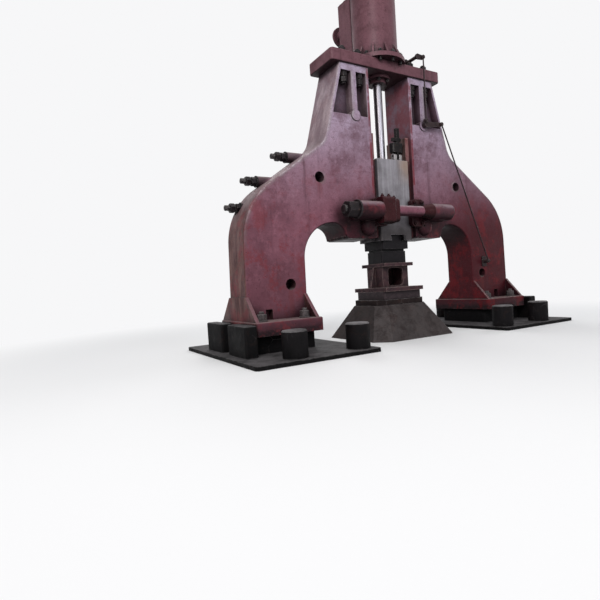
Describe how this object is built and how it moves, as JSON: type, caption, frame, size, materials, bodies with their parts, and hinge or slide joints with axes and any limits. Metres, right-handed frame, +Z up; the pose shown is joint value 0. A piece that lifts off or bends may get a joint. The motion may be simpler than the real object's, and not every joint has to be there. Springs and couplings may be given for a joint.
{
  "type": "arch-frame steam forging hammer",
  "caption": "Double-frame arch forging hammer: two C-shaped cast stands on foundation plates, ram held up on a prop over the anvil, steam cylinder on top.",
  "frame": {"origin": "on the ground at the centre of the dies, under the piston rod", "axes": "+X from the left stand to the right stand, -Y towards the pictured front, +Z up along the piston rod"},
  "size_m": [7.12, 3, 7.281],
  "materials": {
    "stand_paint": "worn oxblood paint over cast iron, dusty",
    "black_casting": "black oily cast steel",
    "machined_steel": "machined forged steel, oil-stained",
    "polished_rod": "ground and polished",
    "guide_paint": "dark red painted iron with oiled face",
    "die_steel": "scaled die steel",
    "prop_paint": "brown painted welded plate, scaled",
    "dark_steel": "oiled dark steel fasteners",
    "cylinder_paint": "worn oxblood paint over cast iron"
  },
  "bodies": {
    "frame": {"anchor_posts_left": "black_casting", "anchor_posts_right": "black_casting", "anvil": "black_casting", "chest_cover": "cylinder_paint", "control_bearings": "dark_steel", "control_bracket": "dark_steel", "control_lever": "dark_steel", "control_rod": "dark_steel", "control_rod_upper": "dark_steel", "control_shaft": "dark_steel", "cover_bolts": "dark_steel", "cylinder": "cylinder_paint", "cylinder_bolts": "dark_steel", "cylinder_cover": "cylinder_paint", "cylinder_plate": "cylinder_paint", "foot_bolts_left": "dark_steel", "foot_bolts_right": "dark_steel", "foundation_plate_left": "black_casting", "foundation_plate_right": "black_casting", "front_tie_bolt": "dark_steel", "front_tie_collars": "guide_paint", "front_tie_sleeve": "guide_paint", "gland": "cylinder_paint", "gland_studs": "dark_steel", "guide_bolts_left": "dark_steel", "guide_bolts_right": "dark_steel", "guide_liner_left": "guide_paint", "guide_liner_right": "guide_paint", "left_stand": "stand_paint", "lower_die": "die_steel", "plate_bolts_left": "dark_steel", "plate_bolts_right": "dark_steel", "prop_stand": "prop_paint", "rear_tie_bolt": "dark_steel", "rear_tie_collars": "guide_paint", "rear_tie_sleeve": "guide_paint", "right_stand": "stand_paint", "valve_chest": "cylinder_paint"},
    "ram": {"piston": "polished_rod", "piston_rod": "polished_rod", "ram": "machined_steel", "ram_lifting_eyes": "machined_steel", "ram_shackle": "dark_steel", "upper_die": "die_steel", "upper_die_key": "die_steel"}
  },
  "joints": [
    {"name": "ram_slide", "type": "slide", "parent": "frame", "child": "ram", "axis": [0, 0, 1], "range_m": [0, 0.9]}
  ]
}
